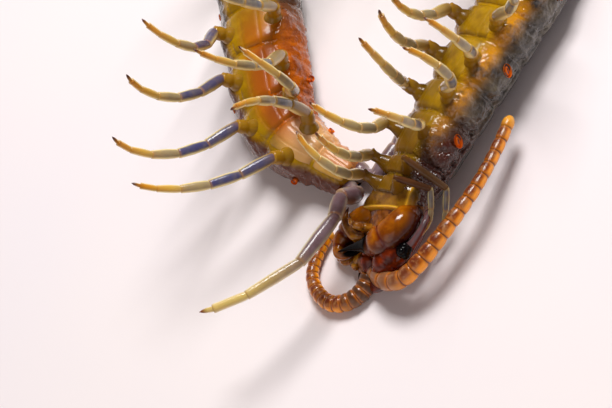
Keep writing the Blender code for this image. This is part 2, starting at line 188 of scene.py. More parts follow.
def headPoint(along, left, height):
    # a point in the head's own directions, no lower than the floor
    middle, tailward, leftward, bellyward = bodyFrame(head["middle"])
    point = middle + tailward * column(along - head["middle"]) + leftward * column(left)
    point = point + bellyward * column(height)
    point[..., 2] = np.maximum(point[..., 2], 0.0)
    return point


def slabShape(rows, turn, square=0.85, wider=0.0, taller=0.0):
    # a flattened round form through rows of (along, left, height, half width, half height), as the along,
    # left and height of its points: cos a to a power across, and sin a up
    across = np.sign(np.cos(turn)) * np.abs(np.cos(turn)) ** square
    left = rows[:, 1:2] + (rows[:, 3:4] + wider) * across
    height = rows[:, 2:3] + (rows[:, 4:5] + taller) * np.sin(turn)
    return np.broadcast_to(rows[:, 0:1], left.shape), left, height


def cadOrigin():
    # how far the CAD's own frame lies from the animal's: its head's lowest corner less the same corner here
    turn = turns(head["sides"]) + math.pi / head["sides"]
    points = headPoint(*slabShape(np.array(head["rings"]), turn))
    corner = np.array(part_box("head")[0]) / metre
    return np.array([corner[0] - points[..., 0].min(), corner[1] - points[..., 1].min(), 0.0])


origin = cadOrigin()
print("origin", origin.round(3))


# Making meshes.
def gridFaces(rows, columns):
    # quads between neighbouring closed rings, facing outwards
    here = np.arange(rows - 1)[:, None] * columns + np.arange(columns)[None, :]
    after = np.arange(rows - 1)[:, None] * columns + (np.arange(columns)[None, :] + 1) % columns
    return np.stack([here, after, after + columns, here + columns], -1).reshape(-1, 4).tolist()


def closedPart(rings, **marks):
    # rings joined by quads, with a fan of triangles to a middle point at each end, and their marks: a value
    # for each ring or for each of its points, and the end ring's mean at the end
    rows, columns = rings.shape[:2]
    points = np.concatenate([rings.reshape(-1, 3), rings[:1].mean(axis=1), rings[-1:].mean(axis=1)])
    k, start, last = np.arange(columns), rows * columns, (rows - 1) * columns
    front = np.stack([(k + 1) % columns, k, np.full(columns, start)], -1)
    back = np.stack([last + k, last + (k + 1) % columns, np.full(columns, start + 1)], -1)
    for name, values in marks.items():
        values = np.asarray(values, float)
        values = np.broadcast_to(values[:, None] if values.ndim == 1 else values, (rows, columns))
        marks[name] = np.concatenate([values.ravel(), values[:1].mean(axis=1), values[-1:].mean(axis=1)])
    return points, gridFaces(rows, columns) + front.tolist() + back.tolist(), marks


def linked(name, data):
    made = bpy.data.objects.new(name, data)
    bpy.context.scene.collection.objects.link(made)
    return made


def addPiece(name, part, finish, slot, *nodes):
    # one mesh object on the CAD's origin, with its marks as attributes, which rides on the whole
    points, faces, marks = part
    mesh = bpy.data.meshes.new(name)
    moved = (points + origin) * metre
    moved[:, 2] = np.maximum(moved[:, 2], 0.0)      # nothing goes below the floor
    mesh.from_pydata(moved.tolist(), [], faces)
    for mark, values in marks.items():
        layer = mesh.attributes.new(mark, "FLOAT", "POINT")
        layer.data.foreach_set("value", np.asarray(values, np.float32).ravel())
    mesh.materials.append(finishes[finish])
    mesh.shade_smooth()
    mesh.update()
    made = linked(name, mesh)
    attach(made, "root")
    if nodes:
        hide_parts(*nodes)


def joined(parts):
    # several (points, faces, marks) as one set, each face row moved on by the points before it
    points, faces, marks, before = [], [], {}, 0
    for somePoints, someFaces, someMarks in parts:
        points.append(somePoints)
        faces += [[corner + before for corner in face] for face in someFaces]
        for mark, values in someMarks.items():
            marks.setdefault(mark, []).append(np.ravel(values))
        before += len(somePoints)
    return np.concatenate(points), faces, {mark: np.concatenate(rows) for mark, rows in marks.items()}


def cubicRows(points, marks, places):
    # cubic between the points with mean slopes: marks say where the points lie, places where rows are made
    k = np.clip(np.searchsorted(marks, places) - 1, 0, len(marks) - 2)
    slopes = np.gradient(points, marks, axis=0)
    width = (marks[k + 1] - marks[k])[:, None]
    t = (places - marks[k])[:, None] / width
    return ((2 * t ** 3 - 3 * t ** 2 + 1) * points[k] + (t ** 3 - 2 * t ** 2 + t) * width * slopes[k]
            + (-2 * t ** 3 + 3 * t ** 2) * points[k + 1] + (t ** 3 - t ** 2) * width * slopes[k + 1])


def smoothPath(points, rows):
    # a curve through the points, in evenly spread rows
    points = np.asarray(points, float)
    marks = np.concatenate([[0.0], np.cumsum(np.linalg.norm(np.diff(points[:, :3], axis=0), axis=1))])
    return cubicRows(points, marks, np.linspace(0.0, marks[-1], rows))


def pathFrames(path):
    # two directions square to the path at each row, carried on from row to row
    ways = unit(np.gradient(path, axis=0))
    side = np.cross(ways[0], (0.0, 0.0, 1.0))
    sides = np.empty_like(path)
    for row, way in enumerate(ways):
        side = side - way * (side @ way)
        side = side / np.linalg.norm(side)
        sides[row] = side
    return sides, np.cross(sides, ways)


def ringsAlong(path, sides, rises, wide, tall, columns):
    # an oval ring square to the path at each row: wide cos a across, tall sin a up
    turn = turns(columns)
    sides, rises = np.atleast_2d(sides)[:, None], np.atleast_2d(rises)[:, None]
    rings = path[:, None] + sides * column(np.outer(wide, np.cos(turn)))
    rings = rings + rises * column(np.outer(tall, np.sin(turn)))
    return rings, np.broadcast_to(turn, rings.shape[:2])


# Materials.
def colour(code):
    # sRGB hex to Blender's linear values
    channels = [int(code[k:k + 2], 16) / 255.0 for k in (1, 3, 5)]
    return tuple(c / 12.92 if c <= 0.04045 else ((c + 0.055) / 1.055) ** 2.4 for c in channels) + (1.0,)


def addNode(tree, kind, settings=None, links=None):
    # a node with its own settings or socket values, and links from (node, output) to its inputs
    node = tree.nodes.new(kind)
    for key, value in (settings or {}).items():
        if isinstance(key, str) and hasattr(node, key):
            setattr(node, key, value)
        else:
            node.inputs[key].default_value = value
    for key, (source, output) in (links or {}).items():
        tree.links.new(source.outputs[output], node.inputs[key])
    return node


def measured(tree, source):
    # a mark by its name, or noise by its (size in mm, detail)
    if isinstance(source, str):
        return addNode(tree, "ShaderNodeAttribute", {"attribute_name": source}), "Fac"
    size, detail = source
    place = addNode(tree, "ShaderNodeTexCoord"), "Object"
    # Object coordinates are in metres, so the scale is 1 over the feature's size
    settings = {"Scale": 1.0 / (size * metre), "Detail": detail, "Roughness": 0.55}
    return addNode(tree, "ShaderNodeTexNoise", settings, {"Vector": place}), "Fac"


def mapped(tree, source, low, high, newLow=0.0, newHigh=1.0):
    # a value taken from one range to another and held inside it
    settings = {"clamp": True, 1: low, 2: high, 3: newLow, 4: newHigh}
    return addNode(tree, "ShaderNodeMapRange", settings, {0: source}), 0


def maskOf(tree, factors):
    # factors times each other. Each is a number, a mark or noise, or a tuple that takes a mark or noise
    # from one range to another: (source, low, high, and what low and high become)
    total = None
    for factor in factors:
        if isinstance(factor, float):
            total = addNode(tree, "ShaderNodeMath", {"operation": "MULTIPLY", 1: factor}, {0: total}), 0
            continue
        ranged = isinstance(factor, tuple) and len(factor) > 2
        factor = mapped(tree, measured(tree, factor[0]), *factor[1:]) if ranged else measured(tree, factor)
        if total is None:
            total = factor
        else:
            total = addNode(tree, "ShaderNodeMath", {"operation": "MULTIPLY"}, {0: total, 1: factor}), 0
    return total


def painted(tree, paint):
    # one hex colour, stops along a mark, or a list: the lowest colour, then (colour, factors of its mask)
    # rows laid over it in turn
    if isinstance(paint, str):
        return paint
    if isinstance(paint, dict):
        ramp = addNode(tree, "ShaderNodeValToRGB", links={0: measured(tree, paint["along"])})
        while len(ramp.color_ramp.elements) < len(paint["stops"]):
            ramp.color_ramp.elements.new(0.5)
        for element, (place, code) in zip(ramp.color_ramp.elements, paint["stops"]):
            element.position = place
            element.color = colour(code)
        return ramp, "Color"
    below = painted(tree, paint[0])
    for above, *factors in paint[1:]:
        mix = addNode(tree, "ShaderNodeMix", {"data_type": "RGBA", "clamp_factor": True},
                      {0: maskOf(tree, factors)})
        for index, given in ((6, below), (7, painted(tree, above))):
            if isinstance(given, str):
                mix.inputs[index].default_value = colour(given)
            else:
                tree.links.new(given[0].outputs[given[1]], mix.inputs[index])
        below = mix, 2
    return below


def newFinish(name, roughness, paint, relief=(), coat=0.0, scatter=0.0, ior=1.5, mirror=0.22, fades=()):
    # a material: its layers of colour, its relief as (depth in mm, factors), and the shader's inputs that
    # fade with a mark, as (input, mark, value at 0, value at 1)
    finish = bpy.data.materials.new(name)
    finish.use_nodes = True
    tree = finish.node_tree
    shader = tree.nodes["Principled BSDF"]
    settings = {
        "Roughness": roughness, "IOR": ior, "Specular IOR Level": mirror, "Coat Weight": coat,
        "Coat Roughness": 0.05, "Subsurface Weight": scatter, "Subsurface Radius": (1.0, 0.45, 0.15),
        "Subsurface Scale": 0.6 * metre,
    }
    for socket, value in settings.items():
        shader.inputs[socket].default_value = value
    links = {"Base Color": painted(tree, paint)}
    for socket, source, atNone, atFull in fades:
        links[socket] = mapped(tree, measured(tree, source), 0.0, 1.0, atNone, atFull)
    if relief:
        height = maskOf(tree, relief[1:])
        bump = addNode(tree, "ShaderNodeBump", {"Strength": 1.0, "Distance": relief[0] * metre},
                       {"Height": height})
        links["Normal"] = links["Coat Normal"] = bump, "Normal"
    for socket, (source, output) in links.items():
        tree.links.new(source.outputs[output], shader.inputs[socket])
    return finish


blotches = (1.5, 3.0)      # noise on the trunk's skin
flesh = ((0.9, 2.0), 0.30, 0.62, 0.6, 1.0)      # how thick the flesh inside a leg is
finishes = {
    # soft wet skin between the shell plates: grey-black, maroon at the neck, orange where light comes
    # through. The belly and the rear are drier than the flanks and the neck.
    "pleura": newFinish("pleural skin", 0.13, [
        "#342C24", ("#5E5444", (blotches, 0.38, 0.68)), ("#44160A", "maroon", 0.9), ("#5E2A10", "brownRear"),
        (["#8E6604", ("#B08408", (blotches, 0.35, 0.65)), ("#6E5008", "neck", 0.9)], "belly"),
        ("#C8840C", "amber", (blotches, 0.3, 0.5)),
        (["#BC5C00", ("#8E3E04", (blotches, 0.40, 0.66)), ("#DCA468", "tailEnd")], "rear"),
    ], (0.42, (0.6, 2.5), ("neck", 0.0, 1.0, 0.5, 1.0)), coat=0.9, scatter=0.05, mirror=0.3,
        fades=[("Coat Weight", "dry", 0.9, 0.25), ("Specular IOR Level", "dry", 0.3, 0.15)]),
    # sclerotised shell plates of the belly: olive-yellow, smooth and waxy with a faint pitting, and orange at
    # the rear, a painted glow of light coming through the body
    "sternite": newFinish("sternite cuticle", 0.36, [
        "#8A6402", ("#AC8204", ((1.6, 3.0), 0.38, 0.62)), ("#6E4A08", "neck", 0.9), ("#A85200", "rear"),
        ("#DCA86C", "tailEnd", 0.9), ("#6A4A04", "edge", 0.3),
    ], (0.012, (0.12, 3.0)), coat=0.25, scatter=0.12),
    # the back's plates: dark brown-black shell with a paler horn rim
    "tergite": newFinish("tergite cuticle", 0.25, [
        "#1C1A16", ("#3A3226", ((1.2, 3.0), 0.38, 0.66)), ("#4A2210", "brownRear", 0.9),
        ("#6A6258", "edge", 0.5),
    ], (0.01, (0.10, 3.0)), coat=0.4),
    # thin clear horn over grey flesh: cream at the edges, the horn's own colour brightened by a painted glow
    # of light coming through, blue-grey in the middle, orange at the joints
    "leg": newFinish("leg cuticle", 0.25, [
        {"along": "reach", "stops": [
            (0.0, "#8E6608"), (0.09, "#A07414"), (0.22, "#B08C3C"), (0.40, "#B4A068"), (0.62, "#BCA262"),
            (0.76, "#D2A440"), (0.92, "#C8841C"), (1.0, "#5A2408")]},
        ("#5E5E62", "core", flesh, ("reach", 0.70, 0.80, 1.0, 0.25)), ("#3E3C6E", "violet", flesh, 0.85),
        ("#EBD79A", "edge", ("reach", 0.1, 0.3)), ("#B8701C", "joint", 0.38), ("#40180A", "dark", 0.9),
        ("#4A1C0C", "claw"),
    ], (0.02, (0.30, 3.0)), coat=0.45, scatter=0.12,
        fades=[("Coat Weight", "dark", 0.45, 0.15), ("Specular IOR Level", "dark", 0.22, 0.10)]),
    # the drawn-out last legs: mauve thick pieces that turn to cream, orange at the joints, with pale edges
    # brightened by a painted glow of light coming through
    "lastLeg": newFinish("last leg cuticle", 0.30, [
        "#5E3E40", ("#80686C", ((1.1, 3.0), 0.35, 0.65)), ("#D2B466", ("reach", 0.66, 0.86)),
        ("#E6D6B0", "edge", ("reach", 0.2, 0.8, 0.15, 0.9)), ("#58424A", "core", 0.6),
        ("#A87440", "joint", 0.45), ("#7A3A12", "claw"),
    ], (0.02, (0.3, 3.0)), coat=0.4, scatter=0.12),
    # the head's capsule: thick polished shell, dark red-brown, its edge mauve-grey
    "head": newFinish("head cuticle", 0.16, [
        "#4A1204", ("#8A300A", ((0.9, 3.0), 0.38, 0.66)), ("#625256", "edge"),
    ], (0.02, (0.2, 3.0)), coat=0.2, scatter=0.1, mirror=0.15),
    # the poison claws: amber horn, polished hard, with black tips. A lower index of refraction keeps the
    # black from mirroring at a low angle.
    "fang": newFinish("poison claw horn", 0.10, [
        "#783802", ("#A85E04", ((1.4, 3.0), 0.38, 0.62)), ("#3A0C03", "shade"), ("#5A1004", "suture"),
        ("#050303", "claw"),
    ], (0.016, (0.22, 3.0)), coat=0.35, scatter=0.30,
        fades=[("Coat Weight", "claw", 0.35, 0.0), ("IOR", "claw", 1.5, 1.1)]),
    # the plate behind the poison claws: clear amber shell that glows along its front lip
    "rim": newFinish("coxosternite cuticle", 0.15, [
        "#744806", ("#9E6C0A", ((0.8, 3.0), 0.35, 0.65)), ("#4A3208", "shade"), ("#FFBE30", "edge"),
    ], (0.03, (0.3, 3.0)), coat=0.5, scatter=0.25),
    # a feeler: amber beads with a mauve bloom of fine down on top and clear orange sides, their own colour
    # brightened by a painted glow of light coming through them; the left one's root has painted shade
    "antenna": newFinish("antenna cuticle", 0.28, [
        "#B45A06", ("#6A2A10", "ridge"), ("#B07C4C", ((0.45, 4.0), 0.46, 0.64), 0.7), ("#FFA012", "edge"),
        ("#85583A", "root", 0.9), ("#3C2010", "stain", 0.8), ("#C8700C", "joint", 0.9), ("#4A1A08", "crack"),
        ("#E8A030", "tip"),
    ], (0.012, (0.08, 2.0)), coat=0.5, scatter=0.18),
    # the mouthparts: yellow-brown horn, darker in the folds
    "mouth": newFinish("mouthpart cuticle", 0.18, [
        "#84480A", ("#BC7E20", ((0.6, 3.0), 0.35, 0.65)), ("#3A1208", "claw"),
    ], (0.012, (0.2, 2.0)), coat=0.4, scatter=0.3),
    # the soft skin round the mouth: dark red-brown, wet and creased, so it takes many small glints
    "flesh": newFinish("mouth skin", 0.20, [
        "#4A1C04", ("#9A560C", ((0.6, 4.0), 0.34, 0.64)),
    ], (0.035, (0.45, 3.0)), coat=0.35, scatter=0.08),
    # simple eyes: black glassy lenses
    "eye": newFinish("ocellus lens", 0.03, ["#030304", ("#0A0708", ((0.3, 1.0), 0.4, 0.6))],
                     ior=1.18, mirror=0.8),
    # breathing holes: an orange horn rim round a dark slit
    "spiracle": newFinish("spiracle rim", 0.25, ["#DE6A10", ("#4A1204", "slit")], coat=0.5, scatter=0.2),
}
print("materials", len(finishes))

# The trunk's skin.
skin = {
    "columns": 144, "frontStep": 0.13, "rearStep": 0.19, "fineUpTo": 36.0,
    "socketAngle": 56.0,      # where on the section a leg grows, up from the flank
    # the swelling at each leg base: its rise, reach along and round the body, and what the neck takes off
    "baseSwell": 0.60, "baseReach": 1.0, "baseUp": 40.0, "baseWidth": 16.0, "neckLoss": 0.6,
    "foldDepth": 0.20, "foldLength": 0.95, "foldWaves": 7, "frontFolds": 0.8, "tuckedIn": 0.62,
    "seamCut": 0.22, "seamCutReach": 0.22,
    "marginAngle": -24.0, "marginWidth": 5.0, "marginRise": 0.16,
    # where each form begins and is full, in degrees up from the flank
    "foldsFrom": (-30.0, -16.0), "foldsTo": (58.0, 38.0), "tuckFrom": (4.0, -20.0), "cutFrom": (-40.0, -20.0),
    # where each tone begins and is full: degrees up for the belly, places along the body for the others
    "belly": (36.0, 58.0), "neck": (20.0, 11.0), "maroon": (18.5, 13.5), "rear": (80.0, 90.0),
    "orange": (80.0, 88.0), "orangeUpTo": (112.0, 86.0), "tail": (94.5, 99.0),
    "tailGone": (98.5, 101.5), "tailLoss": 0.65, "amberUp": 38.0, "amberWidth": 14.0,
    "amberFrom": (11.0, 19.0), "amberGone": (60.0, 40.0), "rearDry": 0.8,
}


def flankPlace(angle):
    # degrees up from the nearer flank, towards the belly above 0 and towards the back below it
    return np.degrees(np.arctan2(np.sin(angle), np.abs(np.cos(angle))))


def bodyTones(along, angle):
    # the marks that the skin and the shell plates share. The rear's orange, a painted glow of light coming
    # through the body, runs from the flank that faces out of the bend up to the belly's middle, and the
    # tail's pale cream fades again at the very end.
    turned = np.mod(np.degrees(angle) + 90.0, 360.0) - 90.0
    return {
        "neck": fade(along, *skin["neck"]), "brownRear": fade(along, *skin["rear"]),
        "rear": fade(along, *skin["orange"]) * fade(turned, *skin["orangeUpTo"]),
        "tailEnd": fade(along, *skin["tail"]) * (1.0 - skin["tailLoss"] * fade(along, *skin["tailGone"])),
    }


legAlong = segmentStart[:-2] + trunk["legPlace"] * np.diff(segmentStart)[:-1]


def foldPattern(along, angle):
    # the mean of slanted sine waves whose phases wander: soft creases of about one length
    total = np.zeros(np.broadcast(along, angle).shape)
    girth = angle * 4.0      # about mm round the section
    for _ in range(skin["foldWaves"]):
        slant, phase, size = chance.uniform(-1.0, 1.0), chance.uniform(0, 6.28), chance.uniform(0.7, 1.5)
        wave = 2.0 * math.pi / (skin["foldLength"] * size)
        wander = 0.9 * np.sin(along * chance.uniform(0.6, 1.3) + phase)
        wander = wander + 0.7 * np.sin(girth * chance.uniform(0.5, 1.2))
        turn = along * wave * math.cos(slant) + girth * wave * math.sin(slant) + wander + phase
        total += 1.0 - 2.0 * np.abs(np.sin(0.5 * turn))
    return total / skin["foldWaves"]


def skinLift(along, angle):
    # swellings at the leg bases, creases on the flanks, the tergites' rolled edge and cuts at the seams
    up = flankPlace(angle)
    onFlank = fade(up, *skin["foldsFrom"]) * fade(up, *skin["foldsTo"])
    # the front's skin is the most creased
    depth = skin["foldDepth"] * (1.0 + skin["frontFolds"] * fade(along, 20.0, 12.0))
    lift = foldPattern(along, angle) * onFlank * depth
    # the back's plates draw in under the flank
    lift = lift - skin["tuckedIn"] * fade(up, *skin["tuckFrom"])
    nearest = np.abs(np.asarray(along)[..., None] - legAlong).min(axis=-1)
    swell = skin["baseSwell"] * (1.0 - skin["neckLoss"] * fade(along, 14.5, 11.5))
    girthwise = hump((up - skin["baseUp"]) / skin["baseWidth"])
    lift = lift + swell * hump(nearest / skin["baseReach"]) * girthwise
    lift = lift - skin["seamCut"] * seamShare(along, skin["seamCutReach"]) * fade(up, *skin["cutFrom"])
    lift = lift + skin["marginRise"] * hump((up - skin["marginAngle"]) / skin["marginWidth"])
    return lift


def trunkSkin():
    # the section's oval at small steps along the body, each point moved out by the lift
    along = np.concatenate([np.arange(trunk["neckAt"] + 0.1, skin["fineUpTo"], skin["frontStep"]),
                            np.arange(skin["fineUpTo"], bodyEnd - 0.15, skin["rearStep"])])[:, None]
    along, angle = np.broadcast_arrays(along, turns(skin["columns"])[None, :])
    # both ends round over: the section shrinks by a quarter circle's height
    ends = np.minimum((along - along.min()) / 0.5, (along.max() - along) / 0.8)
    closing = 1.0 - np.sqrt(np.clip(1.0 - np.square(1.0 - np.clip(ends, 0.0, 1.0)), 0.0, 1.0))
    lift = skinLift(along, angle) * (1.0 - closing) - 1.1 * closing
    rings = sectionPoint(along, angle, lift, trunk["skinSeam"] * seamShare(along, trunk["seamReach"]))
    up = flankPlace(angle)
    belly = fade(up, *skin["belly"])
    tones = bodyTones(along, angle)
    amber = hump((up - skin["amberUp"]) / skin["amberWidth"])
    amber = amber * fade(along, *skin["amberFrom"]) * fade(along, *skin["amberGone"])
    part = closedPart(rings, belly=belly, dry=np.maximum(belly, skin["rearDry"] * tones["brownRear"]),
                      maroon=fade(along, *skin["maroon"]), amber=amber, **tones)
    addPiece("trunkSkin", part, "pleura", "trunk cuticle", *[f"trunk_{order}" for order in range(1, 8)])


trunkSkin()
print("trunk skin")

# Shell plates.
plates = {
    "rows": 22, "columns": 36, "gapAlong": 0.16, "lift": 0.045, "bury": 0.10,
    "bellyHalf": 33.0, "backHalf": 64.0,        # degrees each side of the middle
    "suture": 0.30, "sutureDepth": 0.05, "sutureWidth": 0.045, "cornerLoss": 0.16, "roll": 0.14,
}


def shellPlate(number, middleAngle, halfAngle, sutures):
    # a patch of the section between two seams, its edges rolled down into the skin, corners rounded
    start, length = segmentStart[number - 1], segmentLength(number)
    v = np.linspace(0.0, 1.0, plates["rows"])[:, None]
    u = np.linspace(-1.0, 1.0, plates["columns"])[None, :]
    v, u = np.broadcast_arrays(v, u)
    along = start + plates["gapAlong"] + v * (length - 2.0 * plates["gapAlong"])
    fromEdge = np.minimum(1.0 - np.abs(u), 2.0 * np.minimum(v, 1.0 - v))
    corner = 1.0 - plates["cornerLoss"] * np.abs(2.0 * v - 1.0) ** 4
    angle = np.radians(middleAngle + halfAngle * u * corner)
    lift = plates["lift"] - (plates["lift"] + plates["bury"]) * (1.0 - fade(fromEdge, 0.0, plates["roll"]))
    # the plates of the back draw in with the skin beside them
    lift = lift - skin["tuckedIn"] * fade(flankPlace(angle), *skin["tuckFrom"])
    if sutures:
        lift = lift - plates["sutureDepth"] * hump((np.abs(u) - plates["suture"]) / plates["sutureWidth"])
    calm = trunk["skinSeam"] * seamShare(along, trunk["seamReach"])
    points = sectionPoint(along, angle, lift, calm)
    rows, columns = u.shape
    here = np.arange(rows - 1)[:, None] * columns + np.arange(columns - 1)[None, :]
    faces = np.stack([here, here + 1, here + columns + 1, here + columns], -1).reshape(-1, 4)
    marks = {"edge": 1.0 - fade(fromEdge, 0.05, 0.15), **bodyTones(along, angle)}
    return points.reshape(-1, 3), faces.tolist(), marks


def shellPlates(name, middleAngle, halfAngle, sutures, finish):
    numbers = range(1, trunk["segments"] + 1)
    parts = [shellPlate(number, middleAngle, halfAngle, sutures) for number in numbers]
    addPiece(name, joined(parts), finish, "trunk cuticle")


shellPlates("sternites", 90.0, plates["bellyHalf"], True, "sternite")
shellPlates("tergites", 270.0, plates["backHalf"], False, "tergite")
print("shell plates")

# Breathing holes.
spiracles = {
    "segments": trunk["longOnes"], "place": 0.66, "angle": 4.0, "length": 0.62, "width": 0.36, "slit": 0.30,
    "turn": 50.0, "columns": 24, "rearSize": 0.85, "rearFrom": 6,
    # (share of the dish's size, height), from the edge over the rolled lip down to the slit
    "profile": [(1.0, -0.12), (0.98, 0.02), (0.90, 0.10), (0.76, 0.12), (0.60, 0.08), (0.44, 0.0),
                (0.28, -0.06), (0.12, -0.12), (0.0, -0.14)],
}


def spiracleRings():
    # an oval dish: it narrows by the profile, while the slit in its middle stays long
    profile = np.array(spiracles["profile"])
    reach = profile[:, 0:1]
    turn = turns(spiracles["columns"])
    lean = math.radians(spiracles["turn"])
    faces = gridFaces(len(profile), spiracles["columns"])
    slit = np.broadcast_to(1.0 - fade(reach, 0.08, 0.26), (len(profile), spiracles["columns"]))
    parts = []
    for number in spiracles["segments"]:
        size = 1.0 if number < spiracles["rearFrom"] else spiracles["rearSize"]
        along = segmentStart[number - 1] + spiracles["place"] * segmentLength(number)
        for sign in (1, -1):
            angle = math.radians(spiracles["angle"])
            angle = angle if sign > 0 else math.pi - angle
            ahead = unit(sectionPoint(along + 0.2, angle) - sectionPoint(along - 0.2, angle))
            around = unit(sectionPoint(along, angle + 0.06) - sectionPoint(along, angle - 0.06)) * sign
            out = unit(np.cross(ahead, around)) * sign
            longWay = ahead * math.cos(lean) + around * math.sin(lean)
            shortWay = np.cross(out, longWay)
            long = spiracles["length"] * size * (reach + spiracles["slit"] * (1.0 - reach)) * np.cos(turn)
            wide = spiracles["width"] * size * reach * np.sin(turn)
            points = sectionPoint(along, angle, 0.02) + longWay * long[..., None] + shortWay * wide[..., None]
            points = points + out * profile[:, 1][:, None, None]
            parts.append((points.reshape(-1, 3), faces, {"slit": slit}))
    addPiece("spiracles", joined(parts), "spiracle", "trunk cuticle")


spiracleRings()
print("spiracles")

# The legs.
legs = {
    "lengths": [(1, 8.8), (4, 9.8), (10, 11.0), (16, 11.8), (20, 12.6)],
    "socketHeight": 0.35, "gap": 0.3, "coxaLength": 0.95, "coxaRadius": 0.70, "socketFit": 0.42,
    "coxaEase": 0.25, "coxaTurn": -0.1,
    # share of the leg's length, radius at the joint before it, radius at its middle
    "articles": [(0.25, 0.50, 0.60), (0.22, 0.44, 0.54), (0.20, 0.40, 0.48), (0.16, 0.33, 0.36),
                 (0.11, 0.27, 0.28), (0.06, 0.25, 0.17)],
    "clawTip": 0.03, "seed": 21, "plainPose": (58, 11, 0, 2), "poseSpread": (9, 2, 3, 1),
    "poses": {
        ("left", 1): (125, -15, -29, 13), ("left", 2): (132, -6, -31, 8), ("left", 3): (137, -18, -38, 10),
        ("left", 4): (140, -13, -16, 6), ("left", 5): (122, -3, -28, 9), ("left", 6): (118, -3, -42, 10),
        ("left", 7): (112, 4, -50, 8), ("left", 17): (96, 5, 30, -8), ("left", 18): (99, 5, 46, -13),
        ("left", 19): (71, 11, 50, -22), ("left", 20): (104, 6, 10, 2), ("right", 3): (27, 16, -18, 0),
        ("right", 4): (22, 24, -3, -1), ("right", 5): (29, 21, -17, 4), ("right", 6): (24, 17, 4, 0),
        ("right", 16): (80, 0, 44, -14), ("right", 17): (88, -5, 56, -19), ("right", 18): (54, 7, 42, -12),
        ("right", 19): (21, 13, 14, -7), ("right", 20): (22, 8, -12, -6),
    },
    "placed": {
        ("right", 1): [(4.05, -0.65, 4.8), (2.95, -1.4, 3.85), (2.2, -1.6, 3.1), (1.5, -1.75, 2.95),
                       (0.9, -2.0, 3.15), (0.25, -2.2, 3.3)],
        ("right", 2): [(5.0, -1.15, 4.0), (3.7, -1.8, 2.85), (2.85, -2.0, 1.95), (1.9, -2.3, 1.4),
                       (1.2, -2.5, 1.2), (0.5, -2.6, 1.0)],
        ("right", 21): [(-0.4, 6.8, 1.85), (-1.45, 6.3, 3.7), (-3.0, 4.4, 4.7), (-7.6, 2.75, 5.8),
                        (-12.5, 3.1, 7.2), (-15.2, 4.0, 7.9), (-16.2, 4.7, 8.0)],
        ("left", 21): [(1.8, 7.1, 1.2), (4.9, 8.1, 1.0), (7.9, 9.0, 0.9), (12.9, 10.3, 0.9),
                       (17.6, 11.8, 0.9), (20.4, 12.9, 0.9), (21.4, 13.3, 0.9)],
    },
    # the last pair is fuller than its solid
    "fullness": {1: 0.68, 2: 0.72, 21: 1.25}, "lastGain": 1.15, "frontGain": {"left": 1.35, "right": 0.78},
    "lastSocket": {"right": (-0.95, 0.1), "left": (0.95, 0.0)},
    "sides": 24, "slim": 0.88, "broadFace": (0.0, -0.55, 0.83), "coxaShare": 0.86, "frontCoxaShare": 0.52,
    "dark": {("right", 1): 1.0, ("right", 2): 0.9}, "coreShares": (0.40, 1.0, 0.55, 0.15, 0.05, 0.0),
    "rearCores": (0.85, 1.0, 0.25, 0.05, 0.0, 0.0), "clawSlim": 0.72,
    # the leg's base: shares of its length, and shares of its radius there
    "coxaRows": [-0.35, -0.15, 0.0, 0.14, 0.26, 0.34, 0.42, 0.55, 0.70, 0.82, 0.92, 1.0, 1.06],
    "coxa": [1.55, 1.50, 1.40, 1.22, 1.04, 0.96, 1.02, 1.06, 1.0, 0.88, 0.80, 0.74, 0.5],
    "softCoxa": [2.3, 2.2, 1.95, 1.70, 1.52, 1.40, 1.30, 1.18, 1.04, 0.92, 0.84, 0.76, 0.5],
}


def legSocket(number, side):
    # where a leg grows: the point on the trunk and the way out of it
    sign = 1 if side == "left" else -1
    if number == trunk["segments"]:
        left, height = legs["lastSocket"][side]
        middle, tailward, leftward, bellyward = bodyFrame(bodyEnd)
        return middle + leftward * left + bellyward * height, tailward
    along = legAlong[number - 1]
    angle = math.radians(skin["socketAngle"] if sign > 0 else 180.0 - skin["socketAngle"])
    middle, tailward, _, _ = bodyFrame(along)
    here = sectionPoint(along, angle)
    normal = unit(np.cross(tailward, sectionPoint(along, angle + 0.05) - here))
    return here, normal if normal @ (here - middle) > 0 else -normal


def drawPoses():
    # a leg out of view has the plain pose moved a little at random, in the CAD's own order of draws
    draws = random.Random(legs["seed"])
    poses = dict(legs["poses"])
    for side in ("left", "right"):
        for number in range(1, trunk["segments"] + 1):
            if (side, number) not in poses and (side, number) not in legs["placed"]:
                poses[side, number] = [value + spread * draws.uniform(-1.0, 1.0)
                                       for value, spread in zip(legs["plainPose"], legs["poseSpread"])]
    return poses


legPoses = drawPoses()


def legWays(number, side):
    # the direction of each piece: it rises out of the side, curls over the belly and leans to the tail
    _, tailward, leftward, bellyward = bodyFrame(legAlong[number - 1])
    outward = leftward if side == "left" else -leftward
    lift, curl, lean, hook = legPoses[side, number]
    ways = []
    for order in range(len(legs["articles"])):
        rise, tilt = math.radians(lift + curl * order), math.radians(lean + hook * order)
        across = outward * math.cos(rise) + bellyward * math.sin(rise)
        ways.append(tailward * math.sin(tilt) + across * math.cos(tilt))
    return ways


def legJoints(number, side):
    # the leg's own root, then every joint from the prefemur's root to the claw's tip
    placed = [np.array(joint) for joint in legs["placed"].get((side, number), [])]
    root, way = legSocket(number, side)
    if number == trunk["segments"]:
        return root + way * 0.05, placed
    base = root + way * 0.1
    point = root + way * (legs["gap"] + legs["socketHeight"])
    ways = [] if placed else legWays(number, side)
    towards = unit(placed[0] - point) if placed else ways[0]
    if way @ towards < legs["coxaTurn"]:
        way = unit(way + legs["coxaEase"] * towards)
    joints = [point + way * legs["coxaLength"]] + placed
    length = float(readRows(legs["lengths"], number))
    for (share, _, _), way in zip(legs["articles"], ways):
        joints.append(joints[-1] + way * length * share)
    return base, joints


